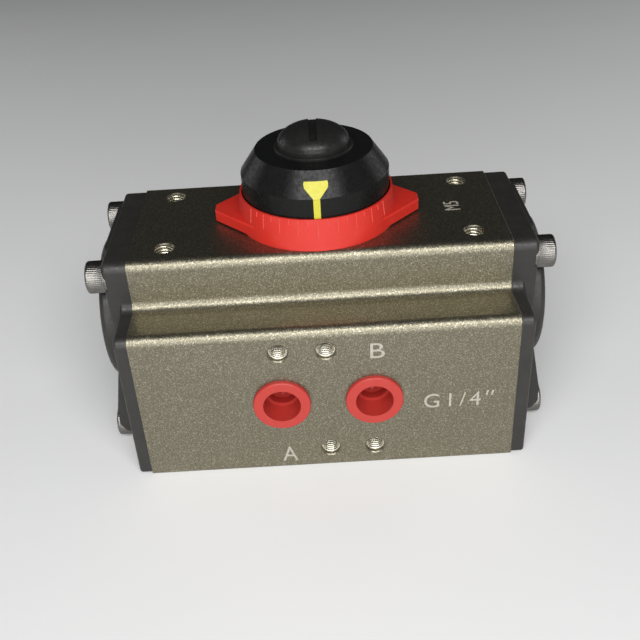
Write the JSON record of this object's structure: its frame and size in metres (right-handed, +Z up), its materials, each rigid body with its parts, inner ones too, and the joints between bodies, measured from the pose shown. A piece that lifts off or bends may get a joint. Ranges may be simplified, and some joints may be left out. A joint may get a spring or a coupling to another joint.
{
  "type": "rotary pneumatic actuator",
  "caption": "Rack-and-pinion quarter-turn air actuator with domed end caps, twin plugged air ports, a slotted position indicator and a red graduated ring.",
  "frame": {"origin": "on the output pinion's axis, in the housing's base face", "axes": "+X along the cylinder bore, -Y out of the air port face, +Z up along the output shaft"},
  "size_m": [0.1204, 0.0707, 0.0836],
  "materials": {
    "anodised_body": "bead-blasted, hard-anodised olive grey",
    "cap_casting": "satin dark grey coating over a die casting",
    "stainless": "plain stainless steel",
    "nickel_steel": "nickel-plated, ground on the journals",
    "spring_steel": "phosphated",
    "piston_alloy": "die cast, anodised",
    "nitrile": "matt black",
    "acetal": "natural white",
    "red_plastic": "moulded, satin",
    "black_plastic": "moulded, satin",
    "yellow_plastic": "moulded, satin"
  },
  "bodies": {
    "body": {"housing": "anodised_body", "end_cap_left": "cap_casting", "end_cap_right": "cap_casting", "end_cap_seal_left": "nitrile", "end_cap_seal_right": "nitrile", "end_cap_screws_left": "stainless", "end_cap_screws_right": "stainless", "end_cap_washers_left": "stainless", "end_cap_washers_right": "stainless", "pinion_bearing_lower": "acetal", "pinion_bearing_upper": "acetal", "pinion_seal_lower": "nitrile", "pinion_seal_upper": "nitrile", "thrust_bearing": "acetal", "graduated_ring": "red_plastic", "stop_screw_nut_closed": "stainless", "stop_screw_washer_closed": "stainless", "stop_screw_seal_closed": "nitrile", "stop_screw_nut_open": "stainless", "stop_screw_washer_open": "stainless", "stop_screw_seal_open": "nitrile"},
    "shaft": {"output_pinion": "nickel_steel", "stop_cam": "nickel_steel", "thrust_washer": "stainless", "snap_ring": "spring_steel", "indicator_rotor": "black_plastic", "pointer_inserts": "yellow_plastic", "indicator_screw": "black_plastic"},
    "left_piston": {"piston_left": "piston_alloy", "piston_seal_left": "nitrile", "piston_wear_band_left": "acetal", "rack_guide_pad_left": "acetal"},
    "right_piston": {"piston_right": "piston_alloy", "piston_seal_right": "nitrile", "piston_wear_band_right": "acetal", "rack_guide_pad_right": "acetal"},
    "closed_stop": {"stop_screw_closed": "stainless"},
    "open_stop": {"stop_screw_open": "stainless"},
    "plug_a": {"port_plug_a": "red_plastic"},
    "plug_b": {"port_plug_b": "red_plastic"}
  },
  "joints": [
    {"name": "left_piston_slide", "type": "slide", "parent": "body", "child": "left_piston", "axis": [-1, 0, 0], "range_m": [0, 0.01178]},
    {"name": "right_piston_slide", "type": "slide", "parent": "body", "child": "right_piston", "axis": [1, 0, 0], "range_m": [0, 0.01178]},
    {"name": "shaft_turn", "type": "hinge", "parent": "body", "child": "shaft", "pos_m": [0, 0, 0.0305], "axis": [0, 0, 1], "range_deg": [0, 90]},
    {"name": "closed_stop_adjust", "type": "slide", "parent": "body", "child": "closed_stop", "axis": [0, 1, 0], "range_m": [0, 0.003]},
    {"name": "open_stop_adjust", "type": "slide", "parent": "body", "child": "open_stop", "axis": [0, 1, 0], "range_m": [0, 0.003]},
    {"name": "plug_a_pull", "type": "slide", "parent": "body", "child": "plug_a", "axis": [0, -1, 0], "range_m": [0, 0.015]},
    {"name": "plug_b_pull", "type": "slide", "parent": "body", "child": "plug_b", "axis": [0, -1, 0], "range_m": [0, 0.015]}
  ],
  "couplings": [
    {"joint": "shaft_turn", "follows": "left_piston_slide", "rad_per_m": 133.33},
    {"joint": "right_piston_slide", "follows": "left_piston_slide", "ratio": 1}
  ]
}
